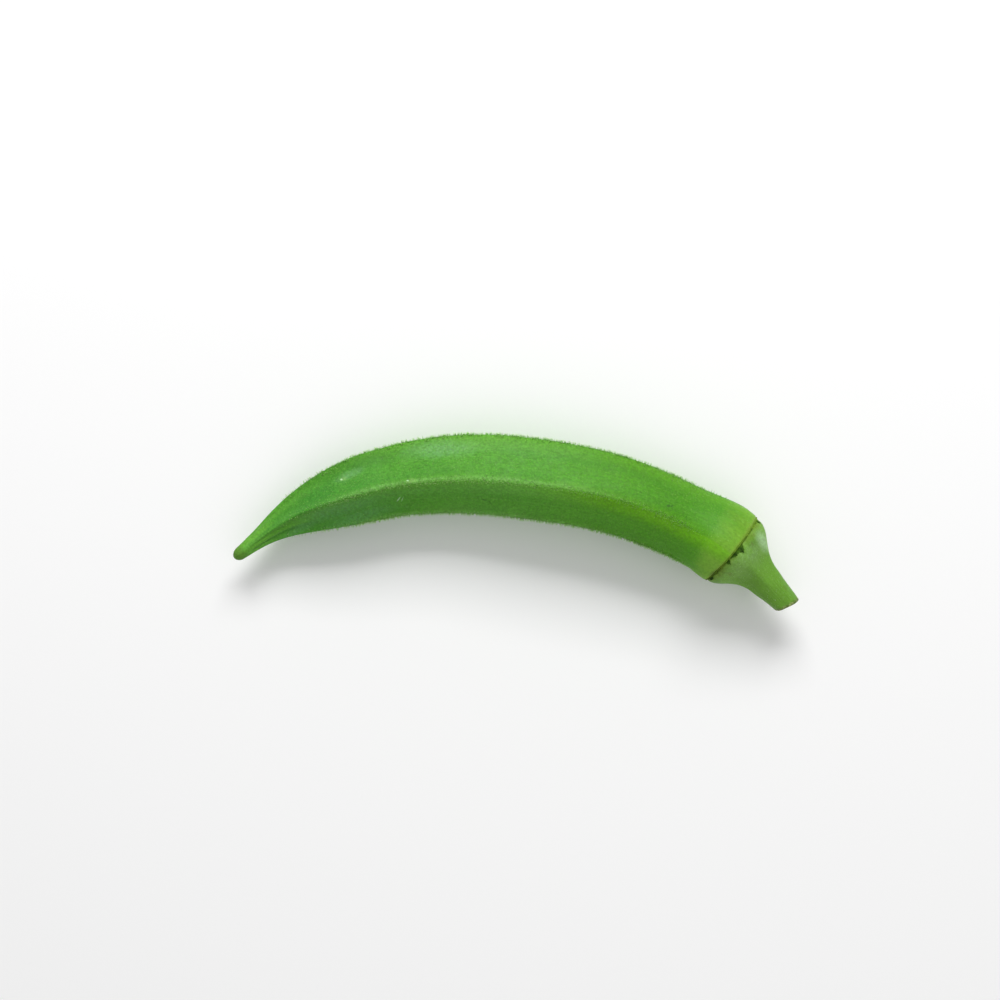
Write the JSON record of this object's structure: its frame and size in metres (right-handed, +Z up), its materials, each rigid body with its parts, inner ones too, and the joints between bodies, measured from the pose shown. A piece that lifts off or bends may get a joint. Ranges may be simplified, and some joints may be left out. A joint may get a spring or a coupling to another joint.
{
  "type": "okra pod",
  "caption": "Curved five-ridged okra pod with a blunt tapering tip, a ragged calyx scar and a fluted cap on a short cut stalk, lying on its side.",
  "frame": {"origin": "on the resting surface, under the middle of the bounding box of the whole pod", "axes": "+X from the tip towards the stalk, +Y towards the outside of the bend, +Z up from the surface it lies on"},
  "size_m": [0.1304, 0.0404, 0.0187],
  "materials": {
    "pod_skin": "fresh green plant skin, waxy satin with fine pale hairs",
    "cap_skin": "paler green plant skin with a dull whitish bloom",
    "dried_calyx": "dry, brown and papery"
  },
  "bodies": {
    "root": {"pod": "pod_skin", "cap_and_stalk": "cap_skin", "calyx_scar": "dried_calyx"}
  },
  "joints": []
}
